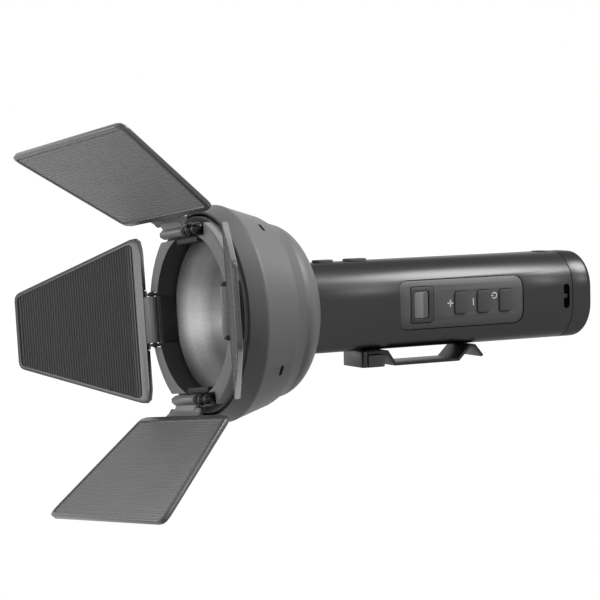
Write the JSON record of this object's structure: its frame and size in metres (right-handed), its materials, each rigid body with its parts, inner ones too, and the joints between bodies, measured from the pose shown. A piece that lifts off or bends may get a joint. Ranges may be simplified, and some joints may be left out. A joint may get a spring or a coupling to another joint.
{
  "type": "led video flash light",
  "caption": "Handheld LED light with a bell-shaped head, a turning ring of ribbed barn doors on rolled hinges, and a square handle with control panel and belt clip.",
  "frame": {"origin": "centre of the tail's flat end face", "axes": "the light shines toward -Y, the tail's flat end faces +Y, the control panel is on +X, the belt clip is on -Z"},
  "size_m": [0.2053, 0.2412, 0.1647],
  "materials": {
    "bell": "fine matte grain",
    "seat": "matte black",
    "reflector": "bright orange-peel dish",
    "chip": "yellow phosphor",
    "board": "solder mask",
    "sink": "satin",
    "dark": "matte black",
    "ring": "grey satin paint",
    "handle": "dark anodised satin",
    "plate": "matte",
    "window": "glossy grey display",
    "button": "matte",
    "cell": "shrink sleeve",
    "clip_steel": "dark coated spring steel",
    "screw": "satin",
    "pin": "black, polished ends",
    "bracket": "grey satin sheet",
    "door": "dark grey matte paint"
  },
  "bodies": {
    "body": {"handle_tube": "handle", "bell_housing": "bell", "seat_ring": "seat", "reflector": "reflector", "led_chip": "chip", "led_board": "board", "heat_sink": "sink", "rear_collar": "dark", "tail_cap": "handle", "control_panel": "plate", "display_bezel": "dark", "display_window": "window", "port_cover": "dark", "battery_cell": "cell", "main_board": "board", "clip_block": "dark", "clip_screw": "screw"},
    "ring": {"door_ring": "ring", "hinge_base_top": "dark", "hinge_pin_top": "pin", "hinge_base_right": "dark", "hinge_pin_right": "pin", "hinge_base_bottom": "dark", "hinge_pin_bottom": "pin", "hinge_base_left": "dark", "hinge_pin_left": "pin"},
    "door_top": {"door_bracket_top": "bracket", "door_panel_top": "door"},
    "door_right": {"door_bracket_right": "bracket", "door_panel_right": "door"},
    "door_bottom": {"door_bracket_bottom": "bracket", "door_panel_bottom": "door"},
    "door_left": {"door_bracket_left": "bracket", "door_panel_left": "door"},
    "button_plus": {"button_plus": "button"},
    "button_minus": {"button_minus": "button"},
    "button_mode": {"button_mode": "button"},
    "top_button_front": {"top_button_front": "button"},
    "top_button_rear": {"top_button_rear": "button"},
    "clip": {"clip_strip": "clip_steel"}
  },
  "joints": [
    {"name": "ring_turn", "type": "hinge", "parent": "body", "child": "ring", "pos_m": [0, -0.1827, 0], "axis": [0, 1, 0], "continuous": true},
    {"name": "door_top_fold", "type": "hinge", "parent": "ring", "child": "door_top", "pos_m": [-0.0038, -0.1902, 0.03439], "axis": [-0.994, 0, -0.1097], "range_deg": [-24, 54]},
    {"name": "door_right_fold", "type": "hinge", "parent": "ring", "child": "door_right", "pos_m": [0.03439, -0.1902, 0.0038], "axis": [-0.1097, 0, 0.994], "range_deg": [-83, 25]},
    {"name": "door_bottom_fold", "type": "hinge", "parent": "ring", "child": "door_bottom", "pos_m": [0.0038, -0.1902, -0.03439], "axis": [0.994, 0, 0.1097], "range_deg": [-32, 46]},
    {"name": "door_left_fold", "type": "hinge", "parent": "ring", "child": "door_left", "pos_m": [-0.03439, -0.1902, -0.0038], "axis": [0.1097, 0, -0.994], "range_deg": [-78.5, 29.5]},
    {"name": "button_plus_press", "type": "slide", "parent": "body", "child": "button_plus", "axis": [-1, 0, 0], "range_m": [0, 0.0004], "stiffness_N_per_m": 1500},
    {"name": "button_minus_press", "type": "slide", "parent": "body", "child": "button_minus", "axis": [-1, 0, 0], "range_m": [0, 0.0004], "stiffness_N_per_m": 1500},
    {"name": "button_mode_press", "type": "slide", "parent": "body", "child": "button_mode", "axis": [-1, 0, 0], "range_m": [0, 0.0004], "stiffness_N_per_m": 1500},
    {"name": "top_button_front_press", "type": "slide", "parent": "body", "child": "top_button_front", "axis": [0, 0, -1], "range_m": [0, 0.0006], "stiffness_N_per_m": 1500},
    {"name": "top_button_rear_press", "type": "slide", "parent": "body", "child": "top_button_rear", "axis": [0, 0, -1], "range_m": [0, 0.0006], "stiffness_N_per_m": 1500},
    {"name": "clip_flex", "type": "hinge", "parent": "body", "child": "clip", "pos_m": [0, -0.1104, -0.0199], "axis": [-1, 0, 0], "range_deg": [0, 3], "stiffness_Nm_per_rad": 3}
  ]
}
